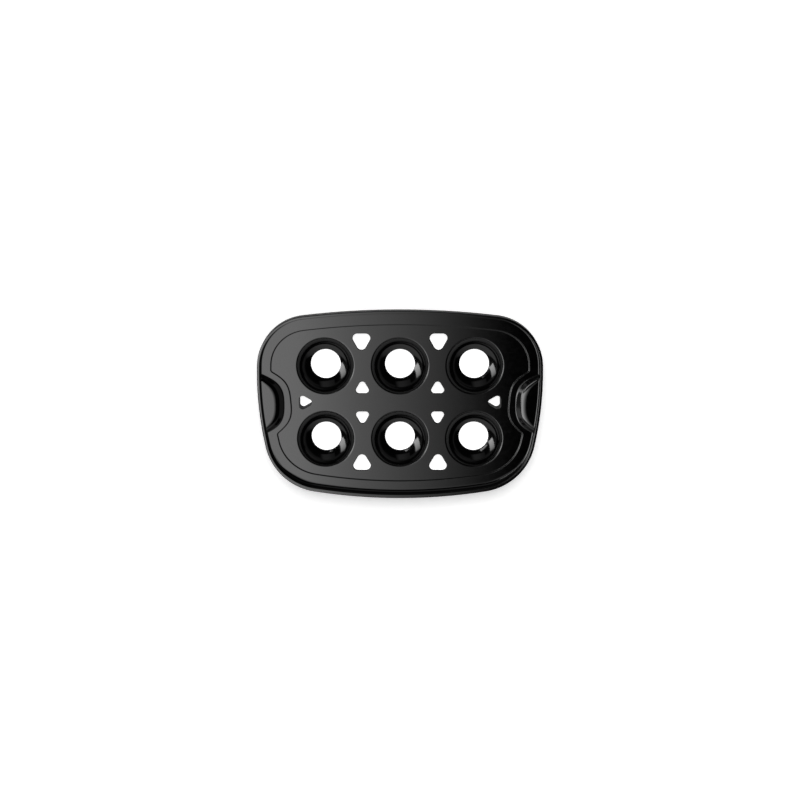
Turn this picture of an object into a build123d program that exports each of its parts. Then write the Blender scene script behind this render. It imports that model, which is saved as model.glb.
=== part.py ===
from build123d import *
import os
from math import hypot, sqrt

# Egg tray of a countertop egg cooker, moulded in one piece.
# X runs along the tray, +Y points to its wide long side, and +Z points up out of the deck.
# The origin is below the middle of the outline, on the plane that the cups and feet stand on.
# Sizes are in millimetres and angles in degrees.

# Plan outline: four bowed sides on chords that would meet at corners, and the rounds there
tray_width = 137.8
wide_side_chord = 199.5
wide_side_bow = 8.5
wide_corner_round = 37.0
narrow_side_shorter_by = 19.7
narrow_side_bow = 10.4
narrow_corner_round = 42.5
end_bow = 7.2

# Walls and heights
wall = 2.0
cup_depth = 9.0
seat_thickness = 2.5
border_step = 0.6
border_width = 10.5
rim_wall = 2.0
rim_height = 7.5
step_lean = 45.0

# Cups: a steep wall from the deck to a crease, then a shallow cone to the hole the egg sits on
cup_pitch = 54.0
cup_columns = 3
cup_rows = 2
cup_grid_y = 0.7
cup_mouth_radius = 20.5
cup_crease_radius = 15.9
cup_crease_depth = 6.2
cup_hole_radius = 11.0

# Three-sided steam vents: the circle that touches the sides, the corner round and the place
large_vent_inradius = 5.3
large_vent_corner = 3.6
large_vent_off_middle = 0.8
large_vent_past_row = 18.5
small_vent_inradius = 3.9
small_vent_corner = 2.6
small_vent_off_middle = 0.3
small_vent_inside_row = 16.6
end_vent_inradius = 4.05
end_vent_corner = 2.7
end_vent_off_step = 8.1
foot_wall = 1.8

# Raised grips: a round pad against each end of the rim, leaning outwards
grip_y = -0.7
grip_radius = 23.1
grip_reach = 17.8
grip_height = 3.7
grip_lean = 5.7
grip_border = 6.8
grip_wall = 2.7

# Edge rounds and bevels
rim_outer_bevel = 0.6
rim_inner_bevel = 0.4
rim_root_bevel = 0.6
under_edge_bevel = 1.2
mouth_bevel = 0.75
step_corner_round = 2.0
grip_crest_round = 3.2

# How far a cutting shape runs past the face it opens, and how near counts as touching
overrun = 1.0
touch = 0.01

wide_side_y = tray_width / 2 - wide_side_bow
narrow_side_y = narrow_side_bow - tray_width / 2
narrow_side_chord = wide_side_chord - narrow_side_shorter_by
deck_top = cup_depth + seat_thickness
deck_bottom = deck_top - wall
border_top = deck_top + border_step
border_bottom = border_top - wall
rim_top = border_top + rim_height
grip_top = border_top + grip_height
grip_border_radius = grip_radius + grip_border
large_vent_x = cup_pitch / 2 + large_vent_off_middle
large_vent_y = cup_pitch / 2 + large_vent_past_row
small_vent_x = cup_pitch / 2 + small_vent_off_middle
small_vent_y = cup_pitch / 2 - small_vent_inside_row


def slab(sketch, bottom, top):
    """A solid of the sketch's shape between two heights."""
    return extrude(Pos(0, 0, bottom) * sketch, amount=top - bottom)


def both_ends(shape):
    """The shape at the tray's right end with its mirror image at the left end."""
    return shape + mirror(shape, about=Plane.YZ)


def bow_circle(start, end, bow):
    """The circle through a chord's ends that bows out to its left: centre, radius and way out."""
    chord = end - start
    radius = (chord.length ** 2 / 4 + bow * bow) / (2 * bow)
    outwards = Vector(-chord.Y, chord.X).normalized()
    return (start + end) / 2 - outwards * (radius - bow), radius, outwards


wide_left = Vector(-wide_side_chord / 2, wide_side_y)
wide_right = Vector(wide_side_chord / 2, wide_side_y)
narrow_right = Vector(narrow_side_chord / 2, narrow_side_y)
narrow_left = Vector(-narrow_side_chord / 2, narrow_side_y)
sides = [
    bow_circle(wide_left, wide_right, wide_side_bow),
    bow_circle(wide_right, narrow_right, end_bow),
    bow_circle(narrow_right, narrow_left, narrow_side_bow),
    bow_circle(narrow_left, wide_left, end_bow),
]


def outline(inset):
    """The plan outline drawn in by an inset: what the four sides' discs share, with round corners."""
    # Each disc's seam is turned away from the side that it makes.
    wide, right, narrow, left = [
        Plane(centre, x_dir=-outwards) * Circle(radius - inset) for centre, radius, outwards in sides
    ]
    shape = wide & right & narrow & left
    shape = fillet(shape.vertices().sort_by(Axis.Y)[-2:], wide_corner_round - inset)
    return fillet(shape.vertices().sort_by(Axis.Y)[:2], narrow_corner_round - inset)


def end_x(y):
    """How far out the right end's bow lies at a given y."""
    centre, radius, outwards = sides[1]
    return centre.X + sqrt(radius * radius - (y - centre.Y) ** 2)


grip_x = end_x(grip_y) - grip_reach + grip_radius


def deck_outline(grow):
    """The foot of the step down to the deck, which goes round each grip, grown outwards."""
    shape = outline(border_width - grow)
    shape -= both_ends(Pos(grip_x, grip_y) * Circle(grip_border_radius - grow))
    corners = [
        v for v in shape.vertices()
        if abs(hypot(abs(v.X) - grip_x, v.Y - grip_y) - grip_border_radius + grow) < touch
    ]
    return fillet(corners, step_corner_round + grow)


def grip_pad():
    """The solid of the right grip, a round pad that leans outwards and stops at the rim."""
    lean = Vector(grip_lean, 0, grip_height)
    pad = extrude(Pos(grip_x, grip_y, border_top) * Circle(grip_radius), lean.length, dir=lean)
    pad += slab(Pos(grip_x, grip_y) * Circle(grip_border_radius - overrun), border_bottom, border_top)
    pad &= slab(outline(rim_wall / 2), border_bottom, grip_top)
    arcs = pad.edges().filter_by(GeomType.CIRCLE)
    level = arcs.filter_by_position(Axis.Z, grip_top - touch, grip_top + touch)
    return fillet([arc for arc in level if abs(arc.radius - grip_radius) < touch], grip_crest_round)


def grip_pocket():
    """The finger recess under the right grip, which leaves the walls of the pad and the rim."""
    rise = grip_height + overrun
    lean = Vector(grip_lean, 0, grip_height) * (rise / grip_height)
    start = Pos(grip_x - grip_lean * overrun / grip_height, grip_y, border_bottom - overrun)
    pocket = extrude(start * Circle(grip_radius - grip_wall), lean.length, dir=lean)
    return pocket & slab(outline(rim_wall), border_bottom - overrun, grip_top)


def rim_and_border():
    """The rim and the border inside it, with the grips raised from the border."""
    body = slab(outline(0), border_bottom, rim_top)
    body = chamfer(body.edges().group_by(Axis.Z)[-1], rim_outer_bevel)
    body = chamfer(body.edges().group_by(Axis.Z)[0], under_edge_bevel)
    cavity = slab(outline(rim_wall), border_top, rim_top + overrun) - both_ends(grip_pad())
    # The bevel at the wall's root runs along the border, up each grip's side and over its face.
    wall_line = outline(rim_wall).wire()
    root = []
    for edge in cavity.edges().filter_by_position(Axis.Z, border_top - touch, grip_top + touch):
        middle = edge @ 0.5
        if wall_line.distance_to(Vertex(middle.X, middle.Y, 0)) < touch:
            root.append(edge)
    body -= chamfer(root, rim_root_bevel)
    rim_face = body.faces().sort_by(Axis.Z)[-1]
    return chamfer(rim_face.inner_wires()[0].edges(), rim_inner_bevel)


def add_deck(body):
    """The body with the deck let into it, below a step that leans back from the deck."""
    body += slab(deck_outline(wall), deck_bottom, border_top)
    recess = Pos(0, 0, deck_top) * deck_outline(0)
    return body - extrude(recess, amount=border_step + overrun, taper=-step_lean)


def cup_bowl():
    """The hollow of one cup, turned about Z: hole, shallow cone, steep wall and bevelled mouth."""
    mouth = (cup_mouth_radius, deck_top)
    past_mouth = cup_mouth_radius + 2 * mouth_bevel
    above = deck_top + overrun
    profile = make_face(Polyline(
        (0, -overrun), (cup_hole_radius, -overrun), (cup_hole_radius, deck_top - cup_depth),
        (cup_crease_radius, deck_top - cup_crease_depth), mouth,
        (past_mouth, deck_top), (past_mouth, above), (0, above), close=True))
    profile = chamfer(profile.vertices().sort_by_distance(mouth)[0], mouth_bevel)
    return revolve(Plane.XZ * profile, Axis.Z)


def cup_skin():
    """The outside of one cup, a wall's thickness outside its hollow and flat where it stands."""
    hollow = make_face(Polyline(
        (0, 0), (cup_hole_radius, 0), (cup_hole_radius, deck_top - cup_depth),
        (cup_crease_radius, deck_top - cup_crease_depth), (cup_mouth_radius, deck_top),
        (0, deck_top), close=True))
    height = deck_top - wall / 2
    reach = cup_mouth_radius + 2 * wall
    skin = offset(hollow, wall, kind=Kind.INTERSECTION)
    profile = skin & Pos(reach / 2, height / 2) * Rectangle(reach, height)
    return revolve(Plane.XZ * profile, Axis.Z)


def vent(inradius, corner, x, y, points_at):
    """The plan shape of a vent, with one corner towards the given angle."""
    triangle = RegularPolygon(inradius, 3, major_radius=False)
    return Pos(x, y) * Rot(0, 0, points_at) * fillet(triangle.vertices(), corner)


def four_vents(inradius, corner, x, y, towards_middle):
    """A vent in each quarter of the deck, one corner pointing at the tray's long axis or away."""
    turn = -90 if towards_middle else 90
    return [
        vent(inradius, corner, side * x, cup_grid_y + half * y, half * turn)
        for side in (-1, 1) for half in (-1, 1)
    ]


def vent_foot(end_vent):
    """The foot below an end vent, which follows the vent's shape down to the ground."""
    return slab(offset(end_vent, foot_wall), 0, deck_top - wall / 2)


def egg_tray():
    """The whole tray: shell first, then what stands below it, then every hole."""
    cups = [Pos(0, cup_grid_y) * place
            for place in GridLocations(cup_pitch, cup_pitch, cup_columns, cup_rows)]
    end_vent_x = grip_x - grip_border_radius - end_vent_off_step
    end_vents = [vent(end_vent_inradius, end_vent_corner, end_vent_x, cup_grid_y, 180),
                 vent(end_vent_inradius, end_vent_corner, -end_vent_x, cup_grid_y, 0)]
    vents = four_vents(large_vent_inradius, large_vent_corner, large_vent_x, large_vent_y, True)
    vents += four_vents(small_vent_inradius, small_vent_corner, small_vent_x, small_vent_y, False)
    vents += end_vents

    tray = add_deck(rim_and_border()) - both_ends(grip_pocket())
    skin, bowl = cup_skin(), cup_bowl()
    tray += [place * skin for place in cups]
    tray += [vent_foot(shape) for shape in end_vents]
    tray -= [place * bowl for place in cups]
    return tray - [slab(shape, -overrun, border_top) for shape in vents]


os.makedirs("parts", exist_ok=True)
export_step(egg_tray(), "parts/egg_tray.step")
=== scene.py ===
from math import cos, radians, sin

import bmesh
import bpy
import numpy as np
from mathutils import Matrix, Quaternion, Vector


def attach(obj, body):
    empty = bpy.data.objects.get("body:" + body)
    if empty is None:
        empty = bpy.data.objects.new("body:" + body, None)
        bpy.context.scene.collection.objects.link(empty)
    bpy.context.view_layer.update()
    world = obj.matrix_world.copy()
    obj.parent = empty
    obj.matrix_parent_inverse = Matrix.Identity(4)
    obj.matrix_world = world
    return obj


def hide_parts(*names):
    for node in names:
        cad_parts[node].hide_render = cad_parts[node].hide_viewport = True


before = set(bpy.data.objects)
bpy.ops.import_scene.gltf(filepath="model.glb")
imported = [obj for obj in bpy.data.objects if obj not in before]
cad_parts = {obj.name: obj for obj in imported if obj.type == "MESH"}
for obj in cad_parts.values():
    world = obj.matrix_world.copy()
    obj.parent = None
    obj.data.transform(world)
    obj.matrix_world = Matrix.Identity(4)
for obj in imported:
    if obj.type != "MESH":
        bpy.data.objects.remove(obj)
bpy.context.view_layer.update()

# The camera: a long lens 1.15 m over the deck, tipped 11.5 degrees towards the tray's wide side, so
# that it sees the tray's face almost square on with the wide side upwards.
tip = radians(11.5)
camera_away = 1.15
deck_above_floor = 0.0115
view_raised = 0.00254
camera_data = bpy.data.cameras.new("camera")
camera_data.lens = 71.3
camera_data.sensor_width = 36.0
camera = bpy.data.objects.new("camera", camera_data)
camera.location = (0.0, camera_away * sin(tip) + view_raised * cos(tip),
                   deck_above_floor + camera_away * cos(tip) - view_raised * sin(tip))
camera.rotation_euler = (-tip, 0.0, 0.0)
bpy.context.scene.collection.objects.link(camera)
bpy.context.scene.camera = camera
bpy.context.scene.view_settings.view_transform = "Standard"

# The tray is one moulding of black plastic, drawn here as sheets that meet edge to edge. First comes
# its plan outline, cut in the mould as four bowed sides with round corners between them.
# Sizes are in millimetres until the sheets are joined, and a place in plan is x + yi.
tray_width = 137.8
wide_chord, wide_bow, wide_corner = 199.5, 8.5, 37.0
narrow_chord, narrow_bow, narrow_corner = 179.8, 10.4, 42.5
end_bow = 7.2


def bow_circle(start, end, bow):
    """Centre and radius of the circle through two places that bows out to the left of the way between
    them: radius = (half chord squared + bow squared) / (2 bow)."""
    half = abs(end - start) / 2
    radius = (half ** 2 + bow ** 2) / (2 * bow)
    return (start + end) / 2 - 1j * (end - start) / (2 * half) * (radius - bow), radius


def circles_meet(first, second, near):
    """Where two circles, each a centre and a radius, cross nearest to a place. The crossings lie
    (r1^2 - r2^2 + gap^2) / (2 gap) along the line between the centres, and as far off it as r1 leaves."""
    gap = second[0] - first[0]
    along = (first[1] ** 2 - second[1] ** 2 + abs(gap) ** 2) / (2 * abs(gap))
    off = np.sqrt(first[1] ** 2 - along ** 2)
    places = first[0] + gap / abs(gap) * (along + np.array([1j, -1j]) * off)
    return places[np.argmin(abs(places - near))]


corners = [complex(wide_chord / 2, tray_width / 2 - wide_bow),
           complex(narrow_chord / 2, narrow_bow - tray_width / 2)]
corners += [-corner.conjugate() for corner in reversed(corners)]
bows = (wide_bow, end_bow, narrow_bow, end_bow)
sides = [bow_circle(corners[i - 1], corners[i], bow) for i, bow in enumerate(bows)]
corner_radii = (wide_corner, narrow_corner, narrow_corner, wide_corner)
hubs = [
    circles_meet((here[0], here[1] - radius), (after[0], after[1] - radius), corner)
    for here, after, corner, radius in zip(sides, sides[1:] + sides[:1], corners, corner_radii)
]

# The arcs run clockwise from the middle of the wide side. Each has a centre, a radius, and the ways
# from its centre to its start and to its end.
arcs = [(*sides[0], 1j, hubs[0] - sides[0][0])]
for i, hub in enumerate(hubs):
    centre, radius = sides[(i + 1) % 4]
    arcs.append((hub, corner_radii[i], hub - sides[i][0], hub - centre))
    arcs.append((centre, radius, hub - centre, hubs[i + 1] - centre if i < 3 else 1j))
arc_centre, arc_radius, arc_start, arc_end = (np.array(column) for column in zip(*arcs))
arc_start = arc_start / abs(arc_start)
arc_turn = np.angle(arc_end / arc_start)
arc_length = abs(arc_radius * arc_turn)
arc_stop = np.cumsum(arc_length)
way_round = arc_stop[-1]
half_way = way_round / 2


def outline(along, inset):
    """Places on the outline drawn in by an inset, and their outward normals, at distances clockwise:
    centre + (radius - inset) e^(i angle), where the angle falls evenly along each arc."""
    arc = np.minimum(np.searchsorted(arc_stop, along, side="right"), len(arc_stop) - 1)
    share = 1 - (arc_stop[arc] - along) / arc_length[arc]
    outwards = arc_start[arc] * np.exp(1j * arc_turn[arc] * share)
    return arc_centre[arc] + (arc_radius[arc] - inset) * outwards, outwards


# The flat faces lie at a few levels, and the sheets between them carry every wall, round and hollow,
# from one flat face round the moulded edges to the next. A short flat beside each round keeps the
# shading of the faces level.
deck_top, deck_under = 11.5, 9.5
border_top, border_under = 12.1, 10.1
rim_top = 19.6
grip_top, pocket_top = 15.8, 13.8
short_flat = 0.25
sheets = []


def add_sheet(place, height, closed):
    """Keeps a grid of points, rows by columns, from places in plan and heights, with its quads."""
    place, height = np.broadcast_arrays(place, height)
    points = np.stack([place.real, place.imag, height], -1)
    index = np.arange(height.size).reshape(height.shape)
    if closed:
        index = np.hstack([index, index[:, :1]])
    quads = np.stack([index[:-1, :-1], index[:-1, 1:], index[1:, 1:], index[1:, :-1]], -1)
    sheets.append((points.reshape(-1, 3), quads.reshape(-1, 4)))


# The grips are round pads raised from the border at both ends, to lift the tray by. Each leans out
# into the rim, with a soft round at its foot and a fuller one along its crest.
# The tray's right end is sampled finely, to find where their lines cross the rim's.
grip_y, grip_reach = -0.7, 17.8
pad_radius, pad_lean = 23.1, 4.2
pad_foot_round, pad_columns = 1.2, 61
pad_shoulders, pad_meets_rim = (0.05, 0.025), radians(65)
crest_share, crest_radii = 0.3, np.array([4, 4, 4, 4, 4, 1, 1, 1])[:, None]
rim_wall, rim_root_round = 2.0, 1.0
ring_inset = rim_wall + rim_root_round + short_flat
end_centre, end_radius = sides[1]
end_x = end_centre.real + np.sqrt(end_radius ** 2 - (grip_y - end_centre.imag) ** 2)
grip = complex(end_x - grip_reach + pad_radius, grip_y)
right_end_shares, right_end_samples = (0.12, 0.38), 40001
right_end = way_round * np.linspace(*right_end_shares, right_end_samples)


def crossings(excess):
    """The two distances along the right end where a value on it changes sign, between its samples."""
    at = np.nonzero(np.diff(np.sign(excess)))[0][[0, -1]]
    return right_end[at] + excess[at] / (excess[at] - excess[at + 1]) * (right_end[1] - right_end[0])


def pad_rows(way):
    """How far out the rows of a pad's side lie, and their heights, for ways out of its centre. The
    side runs straight from foot to crest, and the foot's round of radius r takes r tan(lean / 2) of it.
    The crest turns on two radii: each row runs on by radius x the change of the sine of its turn and
    drops by radius x the change of the cosine, and the whole drop is a share of the height. Between
    the middle and the rim each row stands out by a shoulder, a share of its distance that follows the
    squared sine of pi x the way's angle / the angle at the rim."""
    across = pad_lean * way.conjugate()
    crest = across.real + np.sqrt(pad_radius ** 2 - across.imag ** 2)
    height = grip_top - border_top
    lean = np.arctan2(height, pad_radius - crest)
    turn = lean * np.linspace(0, 1, len(crest_radii))[:, None]
    foot_row = pad_radius + pad_foot_round * np.tan(lean / 2)
    run = np.cumsum(np.diff(np.sin(turn), axis=0, prepend=0) * crest_radii, axis=0)
    drop = np.cumsum(np.diff(1 - np.cos(turn), axis=0, prepend=0) * crest_radii, axis=0)
    crest_size = crest_share * height / drop[-1]
    crest_row = crest + crest_share * height / np.tan(lean) - crest_size * run[-1]
    far = np.vstack([foot_row + short_flat, foot_row - pad_foot_round * np.sin(turn),
                     crest_row + (crest_size * run)[::-1], crest_row - short_flat])
    up = np.vstack([np.full(way.shape, border_top), border_top + pad_foot_round * (1 - np.cos(turn)),
                    grip_top - (crest_size * drop)[::-1], np.full(way.shape, grip_top)])
    shoulder = np.linspace(*pad_shoulders, len(far))[:, None]
    far = far * (1 + shoulder * np.sin(np.pi * np.angle(-way) / pad_meets_rim) ** 2)
    # The short flats at both ends of the slope, between the last row of the foot and the crest's first
    slope = [len(turn), len(turn) + 1]
    both_ways = np.array([-short_flat, short_flat])
    far = np.insert(far, [slope[1]] * 2, far[slope] + np.outer(both_ways, np.cos(lean)), 0)
    return far, np.insert(up, [slope[1]] * 2, up[slope] - np.outer(both_ways, np.sin(lean)), 0)


# Each row starts and ends where it meets the flat beside the rim's root, and the rim takes those
# places and heights over, so that its root runs up the pad's side and over the top.
root_line = outline(right_end, ring_inset)[0] - grip
pad_far = pad_rows(root_line / abs(root_line))[0]
pad_ends = np.array([crossings(row) for row in abs(root_line) - pad_far])
end_places = outline(pad_ends, ring_inset)[0] - grip
end_turns = np.angle(-end_places)
turns = end_turns[:, :1] + (end_turns[:, 1:] - end_turns[:, :1]) * np.linspace(0, 1, pad_columns)
pad_far, pad_up = np.stack([np.array(pad_rows(-np.exp(1j * row)))[:, i] for i, row in enumerate(turns)], 1)
pad_places = grip - pad_far * np.exp(1j * turns)
pad_places[:, [0, -1]] = grip + end_places
add_sheet(pad_places, pad_up, False)
add_sheet(-pad_places.conj(), pad_up, False)

# Under each grip is a finger recess: a leaning round pocket that stops at the rim's inner face.
pocket_radius, pocket_lean = 20.4, 5.7
pocket_rows, pocket_side_columns, pocket_rim_columns = 5, 22, 26
pocket_levels = np.linspace(border_under, pocket_top, pocket_rows)


def fan(centre, first, last, radius, count):
    """Places on an arc from one way out of a centre to another, without the last, and those ways."""
    ways = first * (last / first) ** (np.arange(count) / count)
    return centre + radius * ways, ways


pocket = []
for level in pocket_levels:
    centre = grip + pocket_lean * (level - border_under) / (grip_top - border_top)
    ends = crossings(abs(outline(right_end, rim_wall)[0] - centre) - pocket_radius)
    first, last = (outline(ends, rim_wall)[0] - centre) / pocket_radius
    along_rim = ends[1] + (ends[0] - ends[1]) * np.arange(pocket_rim_columns) / pocket_rim_columns
    pocket.append(np.concatenate([fan(centre, first, -1, pocket_radius, pocket_side_columns)[0],
                                  fan(centre, -1 + 0j, last, pocket_radius, pocket_side_columns)[0],
                                  outline(along_rim, rim_wall)[0]]))
pocket = np.array(pocket)
add_sheet(pocket, pocket_levels[:, None], True)
add_sheet(-pocket.conj(), pocket_levels[:, None], True)

# The rim stands up all round: a straight wall with a round top edge, a small round at its root and a
# round below. It is drawn as a profile, whose bare ends only aim it and are left out.
column_spacing, bare_end = 2.2, 3.0
round_step_turn, round_step_length = radians(10), 1.4
under_round = 1.2
rim_rounds_at_ends, rim_rounds_along_sides = (0.4, 1.0), (0.3, 0.45)
narrow_side_begins, narrow_side_full, narrow_side_thicker = 0.5, 0.9, 0.3


def spaced(start, end):
    """Distances from start up to end in even steps of about the column spacing, without end."""
    count = max(int(np.ceil((end - start) / column_spacing)), 1)
    return start + (end - start) * np.arange(count) / count


def rounded(corners, radii):
    """A profile through corners given as (out, up), with an arc for each inner corner. The arc starts
    radius / tan(half the corner's angle) before the corner, about a centre on the bisector. Its points
    are (sin((1 - share) turn) x its start + sin(share turn) x its end) / sin(turn) from that centre."""
    corners = np.array(corners, float)
    profile = [corners[:1]]
    for before, corner, after, radius in zip(corners, corners[1:], corners[2:], radii):
        back, on = ((end - corner) / np.hypot(*(end - corner)) for end in (before, after))
        half = np.arccos(back @ on) / 2
        reach = radius / np.tan(half)
        centre = corner + (back + on) / np.hypot(*(back + on)) * radius / np.sin(half)
        turn = np.pi - 2 * half
        steps = max(round(turn / round_step_turn), round(radius * turn / round_step_length), 2)
        share = np.linspace(0, 1, steps + 1)[:, None]
        arc = (np.sin((1 - share) * turn) * (corner + back * reach - centre)
               + np.sin(share * turn) * (corner + on * reach - centre)) / np.sin(turn)
        profile += [[corner + back * (reach + short_flat)], centre + arc,
                    [corner + on * (reach + short_flat)]]
    return np.vstack(profile + [corners[-1:]])


between = spaced(*pad_ends[-1])[1:]
before, after = spaced(0, pad_ends[0, 0]), spaced(pad_ends[0, 1], half_way)[1:]
right = np.concatenate([before, pad_ends[:, 0], between, pad_ends[::-1, 1], after])
right_floor = np.concatenate([np.full(len(before), border_top), pad_up[:, 0],
                              np.full(len(between), grip_top), pad_up[::-1, -1],
                              np.full(len(after), border_top)])
rim_along = np.concatenate([right, [half_way], way_round - right[:0:-1]])
rim_floor = np.concatenate([right_floor, [border_top], right_floor[:0:-1]])
rim_line, rim_outwards = outline(rim_along, 0.0)
root = rounded([(-ring_inset, 0), (-rim_wall, 0), (-rim_wall, bare_end)], [rim_root_round])[1:-1]
upper_at_ends, upper_along_sides = (
    rounded([(-rim_wall, rim_top - bare_end), (-rim_wall, rim_top), (0, rim_top), (0, border_under),
             (-bare_end, border_under)], [*rounds, under_round])[1:-1, :, None]
    for rounds in (rim_rounds_at_ends, rim_rounds_along_sides)
)
# Along the narrow side, where the normal points towards -Y, the rim grows thicker and its root's round
# twice as large, smoothly as 3 share^2 - 2 share^3. The top's rounds turn from those of the ends to
# those of the long sides with the squared y of the normal.
share = (-rim_outwards.imag - narrow_side_begins) / (narrow_side_full - narrow_side_begins)
share = np.clip(share, 0, 1)
along_narrow_side = share ** 2 * (3 - 2 * share)
root_size = 1 + along_narrow_side
upper = upper_at_ends + (upper_along_sides - upper_at_ends) * rim_outwards.imag ** 2
rim_out = np.vstack([(root[:, :1] + rim_wall) * root_size - rim_wall, upper[:, 0]])
rim_out *= 1 + narrow_side_thicker * along_narrow_side
rim_up = np.vstack([rim_floor + root[:, 1:] * root_size, upper[:, 1]])
add_sheet(rim_line + rim_out * rim_outwards, rim_up, True)

# The deck is let in 0.6 mm below the border. The step between them follows the rim and turns round
# each grip, and below it the deck's edge stands out from under the border.
border_width, narrower_at_ends, step_corner, step_round = 10.5, 0.8, 2.0, 0.5
step_radius, step_shoulder = 28.3, 1.05
step_slope = radians(54)
step_corner_columns, step_grip_columns = 12, 44
deck_wall, under_step_round = 2.0, 0.3


def carry(line, outwards, profile):
    """Adds the sheet of a profile carried round a closed line: place = line + out x normal."""
    add_sheet(line + profile[:, :1] * outwards, profile[:, 1:], True)


def border_line(along, further_in=0.0):
    """Places and normals along the border's inner edge. The border's width is its mean less a
    difference x the real part of the squared normal: widest along the long sides, least at the ends."""
    squared = outline(along, 0.0)[1] ** 2
    return outline(along, border_width - narrower_at_ends * squared.real + further_in)


turnings = crossings(abs(border_line(right_end, step_corner)[0] - grip) - step_radius - step_corner)
step_hubs, rim_ways = border_line(turnings, step_corner)
grip_ways = (grip - step_hubs) / abs(grip - step_hubs)
round_grip, round_ways = fan(grip, -grip_ways[0], -grip_ways[1], step_radius, step_grip_columns)
# On its way round the grip the step stands out by a shoulder x the squared sine of 2 pi x the share
# of the way, which is most half way to the rim on each side.
shoulders = np.sin(2 * np.pi * np.arange(step_grip_columns) / step_grip_columns) ** 2
round_grip += step_shoulder * shoulders * round_ways
parts = [
    border_line(spaced(0, turnings[0])),
    fan(step_hubs[0], rim_ways[0], grip_ways[0], step_corner, step_corner_columns),
    (round_grip, -round_ways),
    fan(step_hubs[1], grip_ways[1], rim_ways[1], step_corner, step_corner_columns),
    border_line(spaced(turnings[1], half_way)),
    border_line(np.array([half_way])),
]
foot, foot_outwards = (np.concatenate(column) for column in zip(*parts))
foot = np.concatenate([foot, -foot[-2:0:-1].conj()])
foot_outwards = np.concatenate([foot_outwards, -foot_outwards[-2:0:-1].conj()])
step_run = (border_top - deck_top) / np.tan(step_slope)
step = rounded([(-bare_end, deck_top), (0, deck_top), (step_run, border_top),
                (step_run + bare_end, border_top)], [step_round, step_round])[1:-1]
under_step = rounded([(deck_wall - bare_end, deck_under), (deck_wall, deck_under), (deck_wall, border_under)],
                     [under_step_round])[1:]
carry(foot, foot_outwards, step)
carry(foot, foot_outwards, under_step)

# Six cups hang from the deck, each turned about its own axis with a wall of constant thickness: a
# soft mouth, a bowl that curves like the egg it seats, and the hole, whose collar the tray stands on.
cup_pitch, cup_grid_y, cup_columns = 54.0, 0.7, 76
mouth, bowl_corner, hole_edge = np.array([(20.5, deck_top), (17.3, 5.36), (10.85, 2.5)])
shell = 2.0
mouth_round, bowl_round, hole_rounds = 1.2, 16.0, (0.2, 0.25)
collar_rounds, outer_bowl_round, under_mouth_round = (0.3, 0.4), 14.5, 0.8
steep, shallow = ((high - low) / np.hypot(*(high - low))
                  for low, high in ((bowl_corner, mouth), (hole_edge, bowl_corner)))
# A corner of a profile moves out by a wall's thickness t to corner + t (n1 + n2) / (1 + n1 . n2).
normals = np.array([(steep[1], -steep[0]), (shallow[1], -shallow[0])])
outer_corner = bowl_corner + shell * normals.sum(0) / (1 + normals[0] @ normals[1])
outer_mouth = outer_corner + steep * (deck_under - outer_corner[1]) / steep[1]
collar = outer_corner - shallow * (outer_corner[0] - hole_edge[0] - shell) / shallow[0]
cup = rounded(
    [mouth + (bare_end, 0), mouth, bowl_corner, hole_edge, (hole_edge[0], 0), (collar[0], 0), collar,
     outer_corner, outer_mouth, outer_mouth + (bare_end, 0)],
    [mouth_round, bowl_round, *hole_rounds, *collar_rounds, outer_bowl_round, under_mouth_round])[1:-1]
around = np.exp(2j * np.pi * np.arange(cup_columns) / cup_columns)
for column in (-1, 0, 1):
    for half in (-1, 1):
        place = complex(column * cup_pitch, cup_grid_y + half * cup_pitch / 2)
        carry(np.full(around.shape, place), around, cup)

# Ten three-sided vents let steam up through the deck. The two at the ends go on down as hollow feet
# that stand on the same level as the collars. A vent's size is its inradius and its corners' radius.
large_vent, large_vent_x, large_vent_y = (5.1, 3.4), 27.8, 45.5
small_vent, small_vent_x, small_vent_y = (3.7, 2.4), 27.3, 10.4
end_vent, end_vent_x = (3.85, 2.5), 69.2
vent_top_round, vent_under_round, vent_corner_columns = 0.25, 0.2, 13
foot_wall, foot_end_round, foot_root_round = 1.8, 0.3, 0.5


def vent_line(place, inradius, corner, points_at):
    """A vent's wall and its outward ways: arcs of the corner's radius about hubs that lie
    2 (inradius - corner) from the middle, joined by straight sides."""
    hub_ways = np.exp(1j * (radians(points_at) + 2 * np.pi / 3 * np.arange(3)))[:, None]
    ways = (hub_ways * np.exp(1j * np.radians(np.linspace(-60, 60, vent_corner_columns)))).ravel()
    return place + np.repeat(2 * (inradius - corner) * hub_ways, vent_corner_columns) + corner * ways, ways


plain_wall = rounded([(bare_end, deck_top), (0, deck_top), (0, deck_under), (bare_end, deck_under)],
                     [vent_top_round, vent_under_round])[1:-1]
foot_walls = rounded([(bare_end, deck_top), (0, deck_top), (0, 0), (foot_wall, 0), (foot_wall, deck_under),
                      (foot_wall + bare_end, deck_under)],
                     [vent_top_round, foot_end_round, foot_end_round, foot_root_round])[1:-1]
for side in (-1, 1):
    for half in (-1, 1):
        large_place = complex(side * large_vent_x, cup_grid_y + half * large_vent_y)
        small_place = complex(side * small_vent_x, cup_grid_y + half * small_vent_y)
        carry(*vent_line(large_place, *large_vent, -90 * half), plain_wall)
        carry(*vent_line(small_place, *small_vent, 90 * half), plain_wall)
    carry(*vent_line(complex(side * end_vent_x, cup_grid_y), *end_vent, 90 + 90 * side), foot_walls)

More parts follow.
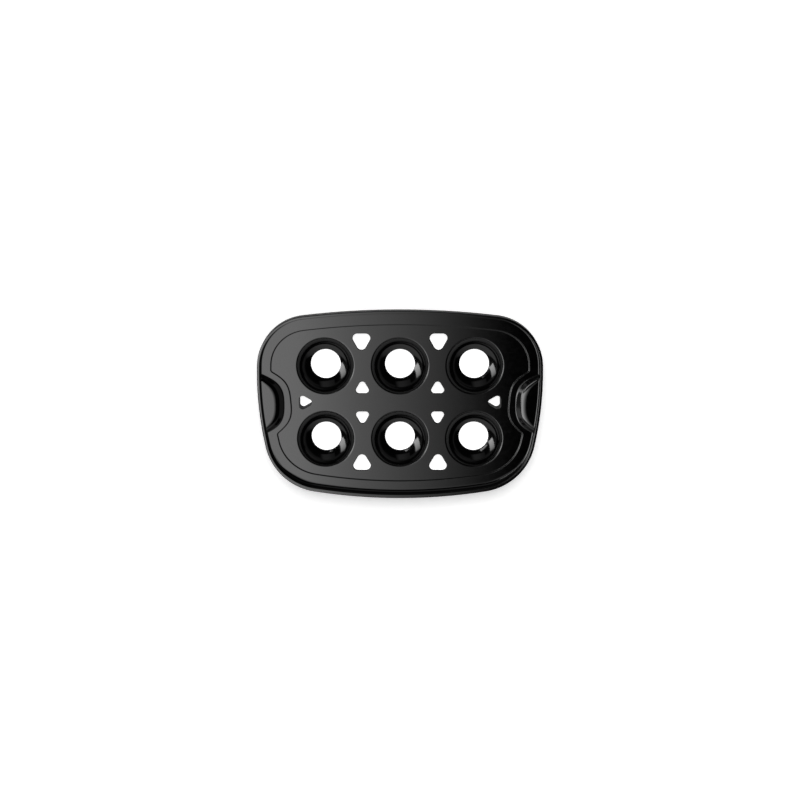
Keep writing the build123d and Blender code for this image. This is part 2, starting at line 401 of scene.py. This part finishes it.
# The sheets are joined at their edges and the flat faces are filled in between them, which closes the
# moulding. It stands for the plainer solid of the frame.
millimetre = 0.001
seam_gap, level_gap = 0.002 * millimetre, 0.001 * millimetre
sharp_from = radians(35)
starts = np.cumsum([0] + [len(points) for points, _ in sheets])
points = np.vstack([points for points, _ in sheets]) * millimetre
quads = np.vstack([quads + start for (_, quads), start in zip(sheets, starts)])
tray_mesh = bpy.data.meshes.new("tray_moulding")
tray_mesh.from_pydata(points.tolist(), [], quads.tolist())
work = bmesh.new()
work.from_mesh(tray_mesh)
bmesh.ops.remove_doubles(work, verts=work.verts, dist=seam_gap)
for level in (deck_top, deck_under, border_top, border_under, grip_top, pocket_top):
    open_edges = [
        edge for edge in work.edges
        if edge.is_boundary and all(abs(vert.co.z - level * millimetre) < level_gap for vert in edge.verts)
    ]
    halves = [[edge for edge in open_edges if edge.verts[0].co.x * side > 0] for side in (-1, 1)]
    for edges in halves if level in (grip_top, pocket_top) else [open_edges]:
        bmesh.ops.triangle_fill(work, use_beauty=True, edges=edges, normal=(0, 0, 1))
bmesh.ops.recalc_face_normals(work, faces=work.faces)
work.to_mesh(tray_mesh)
work.free()
tray_mesh.shade_smooth()
tray_mesh.set_sharp_from_angle(angle=sharp_from)
tray = bpy.data.objects.new("tray_moulding", tray_mesh)
bpy.context.scene.collection.objects.link(tray)
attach(tray, "root")
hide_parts("egg_tray")

# Its outer edges are the first to wear. The bend at a point is the mean over its mesh edges of the
# change of normal along the edge over the edge's length, and it is positive where the form stands out.
fully_worn_bend = 0.5
ends = np.empty(len(tray_mesh.edges) * 2, int)
tray_mesh.edges.foreach_get("vertices", ends)
ends = ends.reshape(-1, 2)
co, normal = np.empty((2, len(tray_mesh.vertices) * 3))
tray_mesh.vertices.foreach_get("co", co)
tray_mesh.vertices.foreach_get("normal", normal)
apart = np.diff(co.reshape(-1, 3)[ends], axis=1)[:, 0]
turned = np.diff(normal.reshape(-1, 3)[ends], axis=1)[:, 0]
bend = (apart * turned).sum(1) / (apart ** 2).sum(1) * millimetre
bent = np.bincount(ends.ravel(), np.repeat(bend, 2)) / np.bincount(ends.ravel())
wear = tray_mesh.attributes.new("edge_wear", "FLOAT", "POINT")
wear.data.foreach_set("value", np.clip(bent / fully_worn_bend, 0, 1).astype(np.float32))


# The plastic is black polypropylene from a polished mould: glossy, slightly wavy and hazy, with fine
# scuffs from washing and duller outer edges.
def new_material(name):
    """An empty node material, its node tree and its output node."""
    material = bpy.data.materials.new(name)
    material.use_nodes = True
    tree = material.node_tree
    tree.nodes.clear()
    return material, tree, tree.nodes.new("ShaderNodeOutputMaterial")


def noise(tree, place, scale, detail):
    """Noise over coordinates, scale in cycles to a metre."""
    node = tree.nodes.new("ShaderNodeTexNoise")
    node.inputs["Scale"].default_value = scale
    node.inputs["Detail"].default_value = detail
    tree.links.new(place, node.inputs["Vector"])
    return node.outputs["Fac"]


def spread(tree, value, low, high, to_low, to_high):
    """The value moved from one range to another and held within it."""
    node = tree.nodes.new("ShaderNodeMapRange")
    for name, number in (("From Min", low), ("From Max", high), ("To Min", to_low), ("To Max", to_high)):
        node.inputs[name].default_value = number
    tree.links.new(value, node.inputs["Value"])
    return node.outputs["Result"]


def combine(tree, operation, first, second=0.0):
    """One or two values joined by a Math operation."""
    node = tree.nodes.new("ShaderNodeMath")
    node.operation = operation
    for socket, value in zip(node.inputs, (first, second)):
        if isinstance(value, float):
            socket.default_value = value
        else:
            tree.links.new(value, socket)
    return node.outputs["Value"]


def bump(tree, height, distance, strength, normal=None):
    """A bump of the height, over another normal if one is given."""
    node = tree.nodes.new("ShaderNodeBump")
    node.inputs["Distance"].default_value = distance
    node.inputs["Strength"].default_value = strength
    tree.links.new(height, node.inputs["Height"])
    if normal:
        tree.links.new(normal, node.inputs["Normal"])
    return node.outputs["Normal"]


# How black the clean and the hazy plastic is, how rough each is, and what scuffs and wear add to that
deep_black, hazy_black = (0.0003, 0.0003, 0.00033, 1.0), (0.001, 0.001, 0.0011, 1.0)
clean_roughness, hazy_roughness = 0.075, 0.115
scuffs_add, wear_adds = 0.05, (0.01, 0.07)
haze_scale, wave_scale, grain_scale = 260.0, 38.0, 2600.0
scratch_turn, scratch_scale = radians(24.0), (60.0, 900.0, 300.0)
wave_height, grain_height, bump_strength = 0.00003, 0.000003, 0.3
gloss_black, tree, output = new_material("gloss_black_plastic")
plastic = tree.nodes.new("ShaderNodeBsdfPrincipled")
plastic.inputs["IOR"].default_value = 1.5
tree.links.new(plastic.outputs["BSDF"], output.inputs["Surface"])
place = tree.nodes.new("ShaderNodeTexCoord").outputs["Object"]
edge_wear = tree.nodes.new("ShaderNodeAttribute")
edge_wear.attribute_name = "edge_wear"
haze = noise(tree, place, haze_scale, 4.0)
rubbed_along = tree.nodes.new("ShaderNodeMapping")
rubbed_along.inputs["Rotation"].default_value = (0.0, 0.0, scratch_turn)
rubbed_along.inputs["Scale"].default_value = scratch_scale
tree.links.new(place, rubbed_along.inputs["Vector"])
scratches = noise(tree, rubbed_along.outputs["Vector"], 1.0, 5.0)
scuffs = spread(tree, scratches, 0.6, 0.78, 0.0, scuffs_add)
tint = tree.nodes.new("ShaderNodeMix")
tint.data_type = "RGBA"
tint.inputs["A"].default_value = deep_black
tint.inputs["B"].default_value = hazy_black
tree.links.new(haze, tint.inputs["Factor"])
tree.links.new(tint.outputs["Result"], plastic.inputs["Base Color"])
worn = combine(tree, "MULTIPLY", edge_wear.outputs["Fac"], spread(tree, haze, 0.4, 0.65, *wear_adds))
unworn = spread(tree, haze, 0.3, 0.7, clean_roughness, hazy_roughness)
dullness = combine(tree, "ADD", unworn, combine(tree, "ADD", scuffs, worn))
tree.links.new(dullness, plastic.inputs["Roughness"])
waves = bump(tree, noise(tree, place, wave_scale, 3.0), wave_height, bump_strength)
grain = bump(tree, noise(tree, place, grain_scale, 2.0), grain_height, bump_strength, waves)
tree.links.new(grain, plastic.inputs["Normal"])
tray_mesh.materials.append(gloss_black)


# The floor is a wide pale board. What is seen of it, straight or in a reflection, has a little light
# of its own, and a brighter oval of painted light under the tray, where its shade would fall, shows through
# the tray's holes.
def flat_sheet(name, half_x, half_y):
    """A level rectangle about the origin, part of the stage."""
    mesh = bpy.data.meshes.new(name)
    mesh.from_pydata([(x * half_x, y * half_y, 0) for x, y in ((-1, -1), (1, -1), (1, 1), (-1, 1))], [],
                     [(0, 1, 2, 3)])
    sheet = bpy.data.objects.new(name, mesh)
    bpy.context.scene.collection.objects.link(sheet)
    return sheet


def object_axes(tree):
    """The object's own X and Y at each point."""
    axes = tree.nodes.new("ShaderNodeSeparateXYZ")
    tree.links.new(tree.nodes.new("ShaderNodeTexCoord").outputs["Object"], axes.inputs["Vector"])
    return axes.outputs["X"], axes.outputs["Y"]


# The glow is what the board adds to its lit colour, and the gloss sees all of it dimmer. The stronger glow of
# the oval is painted light that hides the tray's shade under it.
board_half, board_colour = 6.0, (0.86, 0.86, 0.86, 1.0)
oval_half_x, oval_half_y, oval_edge = 0.084, 0.06, (0.95, 1.1)
painted_glow_under_tray, board_glow, glow_in_gloss, dimmed_in_gloss = 0.9, 0.46, 0.1, 0.75
board, tree, output = new_material("pale_board")
paper = tree.nodes.new("ShaderNodeBsdfPrincipled")
paper.inputs["Base Color"].default_value = board_colour
paper.inputs["Roughness"].default_value = 0.9
paper.inputs["Specular IOR Level"].default_value = 0.0
rays = tree.nodes.new("ShaderNodeLightPath")
straight = combine(tree, "MAXIMUM", rays.outputs["Is Camera Ray"], rays.outputs["Is Transmission Ray"])
in_gloss = rays.outputs["Is Glossy Ray"]
oval_x, oval_y = (
    combine(tree, "POWER", combine(tree, "DIVIDE", axis, half), 2.0)
    for axis, half in zip(object_axes(tree), (oval_half_x, oval_half_y))
)
# Painted light: the board glows brighter in the oval under the tray, which hides the tray's shade there.
painted_light_oval = spread(tree, combine(tree, "ADD", oval_x, oval_y), *oval_edge, painted_glow_under_tray, board_glow)
glow = combine(tree, "ADD", combine(tree, "MULTIPLY", painted_light_oval, straight),
               combine(tree, "MULTIPLY", in_gloss, glow_in_gloss))
light = tree.nodes.new("ShaderNodeEmission")
tree.links.new(glow, light.inputs["Strength"])
both = tree.nodes.new("ShaderNodeAddShader")
tree.links.new(paper.outputs["BSDF"], both.inputs[0])
tree.links.new(light.outputs["Emission"], both.inputs[1])
dimmed = tree.nodes.new("ShaderNodeMixShader")
tree.links.new(combine(tree, "MULTIPLY", in_gloss, dimmed_in_gloss), dimmed.inputs["Fac"])
tree.links.new(both.outputs["Shader"], dimmed.inputs[1])
tree.links.new(dimmed.outputs["Shader"], output.inputs["Surface"])
floor = flat_sheet("floor", board_half, board_half)
floor.data.materials.append(board)


# The studio has reflector cards that only the gloss sees. The overhead one hangs level, bright on the
# left and faded out on the right. The key card lights the cups' right sides, a small one the far left
# corner of the rim, and a dim one stands at the back.
def ramp(tree, value, stops):
    """A brightness that runs in straight lines through stops of (value, brightness)."""
    low, high = stops[0][0], stops[-1][0]
    most = max(level for _, level in stops)
    node = tree.nodes.new("ShaderNodeValToRGB")
    elements = node.color_ramp.elements
    while len(elements) < len(stops):
        elements.new(0.5)
    for element, (at, level) in zip(elements, stops):
        element.position = (at - low) / (high - low)
        element.color = (level / most, level / most, level / most, 1.0)
    tree.links.new(spread(tree, value, low, high, 0.0, 1.0), node.inputs["Fac"])
    return combine(tree, "MULTIPLY", node.outputs["Color"], most)


def card(name, centre, half_x, half_y, across, soft, roll=0.0):
    """A card that faces the tray, rolled about its middle, as bright across its X as the stops say and
    soft at its Y edges."""
    sheet = flat_sheet(name, half_x, half_y)
    sheet.location = centre
    facing = (-Vector(centre)).to_track_quat("Z", "Y")
    sheet.rotation_euler = (facing @ Quaternion((0.0, 0.0, 1.0), roll)).to_euler()
    sheet.visible_camera = sheet.visible_diffuse = sheet.visible_shadow = False
    material, tree, output = new_material(name)
    x, y = object_axes(tree)
    edge = spread(tree, combine(tree, "ABSOLUTE", y), half_y - soft, half_y, 1.0, 0.0)
    light = tree.nodes.new("ShaderNodeEmission")
    tree.links.new(combine(tree, "MULTIPLY", ramp(tree, x, across), edge), light.inputs["Strength"])
    tree.links.new(light.outputs["Emission"], output.inputs["Surface"])
    sheet.data.materials.append(material)
    return sheet


overhead = card("overhead_card", (0.0, -0.23, 0.8), 0.64, 0.3,
                [(-0.64, 0.0), (-0.58, 6.5), (-0.3, 6.2), (-0.17, 3.3), (-0.124, 3.25), (-0.1, 2.7),
                 (-0.05, 1.85), (0.0, 1.2), (0.05, 0.65), (0.1, 0.15), (0.135, 0.0)], 0.03)
overhead.rotation_euler = (0.0, 0.0, 0.0)
card("key_card", (-0.85, 0.171, 0.501), 0.38, 0.2,
     [(-0.38, 8.5), (-0.06, 6.0), (0.12, 4.5), (0.28, 3.0), (0.38, 1.0)], 0.02, radians(-49.0))
card("corner_card", (-0.36, 0.3, 0.8), 0.2, 0.08, [(-0.2, 5.5), (0.2, 4.5)], 0.02)
card("back_card", (-0.149, 0.844, 0.515), 0.42, 0.3,
     [(-0.42, 0.15), (-0.3, 0.17), (0.0, 0.3), (0.2, 0.3), (0.42, 0.0)], 0.03)

# One large soft lamp behind the wide side lights everything plainly, and the room fills it in. Seen
# straight, the room is white. The gloss sees its white wall on the left, in front and at its foot, and
# dark walls elsewhere.
lamp_data = bpy.data.lights.new("soft_lamp", "SUN")
lamp_data.energy = 1.8
lamp_data.angle = radians(34.0)
lamp = bpy.data.objects.new("soft_lamp", lamp_data)
lamp.rotation_euler = (radians(-28.0), radians(-3.0), 0.0)
lamp.visible_glossy = False
bpy.context.scene.collection.objects.link(lamp)

# The way in plan to the left wall, and how far the top of the wall in front falls towards the back
left_wall_x, left_wall_y, falls_backwards = -0.8, -0.6, 1.3
room_fill = 0.28
world = bpy.data.worlds.new("room")
bpy.context.scene.world = world
world.use_nodes = True
tree = world.node_tree
tree.nodes.clear()
output = tree.nodes.new("ShaderNodeOutputWorld")
background = tree.nodes.new("ShaderNodeBackground")
background.inputs["Color"].default_value = (1.0, 1.0, 1.0, 1.0)
tree.links.new(background.outputs["Background"], output.inputs["Surface"])
axes = tree.nodes.new("ShaderNodeSeparateXYZ")
tree.links.new(tree.nodes.new("ShaderNodeTexCoord").outputs["Generated"], axes.inputs["Vector"])
leftwards = combine(tree, "ADD", combine(tree, "MULTIPLY", axes.outputs["X"], left_wall_x),
                    combine(tree, "MULTIPLY", axes.outputs["Y"], left_wall_y))
wall_height = combine(tree, "ADD", axes.outputs["Z"],
                      combine(tree, "MULTIPLY", axes.outputs["Y"], falls_backwards))
wall_in_front = ramp(tree, wall_height, [(-1.5, 1.0), (-0.16, 1.0), (-0.1, 0.05), (1.0, 0.0)])
wall_foot = ramp(tree, axes.outputs["Z"], [(0.0, 1.0), (0.1, 1.0), (0.17, 0.0), (1.0, 0.0)])
wall_to_the_left = ramp(tree, leftwards, [(-0.45, 0.0), (-0.19, 0.32), (0.3, 0.6), (1.0, 0.76)])
bright_wall = combine(tree, "MULTIPLY", wall_to_the_left, combine(tree, "MAXIMUM", wall_in_front, wall_foot))
dark_wall = ramp(tree, axes.outputs["Z"], [(0.0, 0.16), (0.28, 0.144), (0.42, 0.008), (1.0, 0.0)])
rays = tree.nodes.new("ShaderNodeLightPath")
gloss = combine(tree, "MAXIMUM", rays.outputs["Is Glossy Ray"], rays.outputs["Is Transmission Ray"])
seen_in_gloss = combine(tree, "MULTIPLY", gloss, combine(tree, "MAXIMUM", bright_wall, dark_wall))
filled_in = combine(tree, "MULTIPLY", combine(tree, "SUBTRACT", 1.0, gloss), room_fill)
level = combine(tree, "ADD", seen_in_gloss, filled_in)
tree.links.new(combine(tree, "MAXIMUM", level, rays.outputs["Is Camera Ray"]), background.inputs["Strength"])
